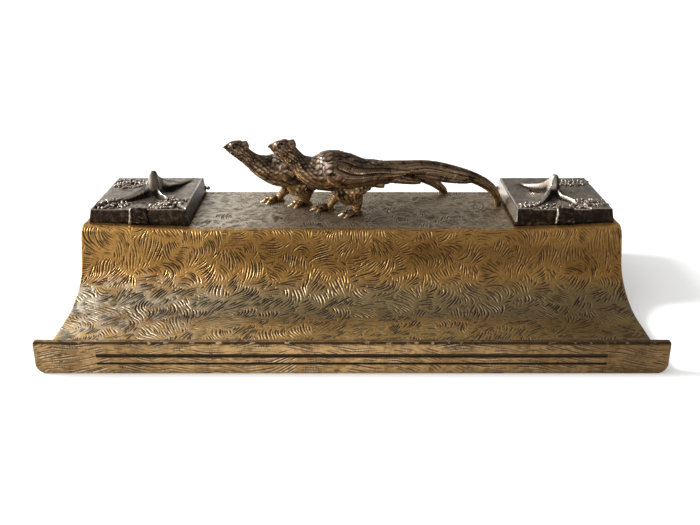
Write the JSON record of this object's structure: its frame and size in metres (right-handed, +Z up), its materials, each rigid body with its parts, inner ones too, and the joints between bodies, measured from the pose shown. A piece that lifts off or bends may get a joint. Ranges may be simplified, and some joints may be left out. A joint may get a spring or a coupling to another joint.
{
  "type": "desk inkstand",
  "caption": "Cast bronze double inkstand: long base with a front pen tray, hinged lids over glass ink pots at both ends and a pair of walking pheasants on the deck.",
  "frame": {"origin": "middle of the base on the table: centre of the bounding box's bottom", "axes": "+X to the viewer's right along the base, +Y to the back, +Z up; the pen tray and its lip face -Y"},
  "size_m": [0.35, 0.19, 0.1001],
  "materials": {
    "golden_bronze": "satin, engraved, golden brown patina",
    "dark_bronze": "satin, dark brown-grey patina",
    "bird_bronze": "satin, dark patina rubbed golden on the edges",
    "brass_fittings": "machined, aged",
    "pot_glass": "clear moulded glass"
  },
  "bodies": {
    "base": {"base_casting": "golden_bronze", "left_well_frame": "dark_bronze", "left_frame_screws": "brass_fittings", "left_ink_pot": "pot_glass", "left_hinge_pin": "dark_bronze", "right_well_frame": "dark_bronze", "right_frame_screws": "brass_fittings", "right_ink_pot": "pot_glass", "right_hinge_pin": "dark_bronze", "near_pheasant": "bird_bronze", "near_studs": "brass_fittings", "near_washers": "brass_fittings", "near_nuts": "brass_fittings", "far_pheasant": "bird_bronze", "far_studs": "brass_fittings", "far_washers": "brass_fittings", "far_nuts": "brass_fittings"},
    "left_cover": {"left_lid": "dark_bronze", "left_hinge_leaf": "brass_fittings", "left_leaf_rivets": "brass_fittings"},
    "right_cover": {"right_lid": "dark_bronze", "right_hinge_leaf": "brass_fittings", "right_leaf_rivets": "brass_fittings"}
  },
  "joints": [
    {"name": "left_lid_hinge", "type": "hinge", "parent": "base", "child": "left_cover", "pos_m": [-0.1398, 0.09335, 0.0503], "axis": [-1, 0, 0], "range_deg": [0, 105]},
    {"name": "right_lid_hinge", "type": "hinge", "parent": "base", "child": "right_cover", "pos_m": [0.1398, 0.09335, 0.0503], "axis": [-1, 0, 0], "range_deg": [0, 105]}
  ]
}
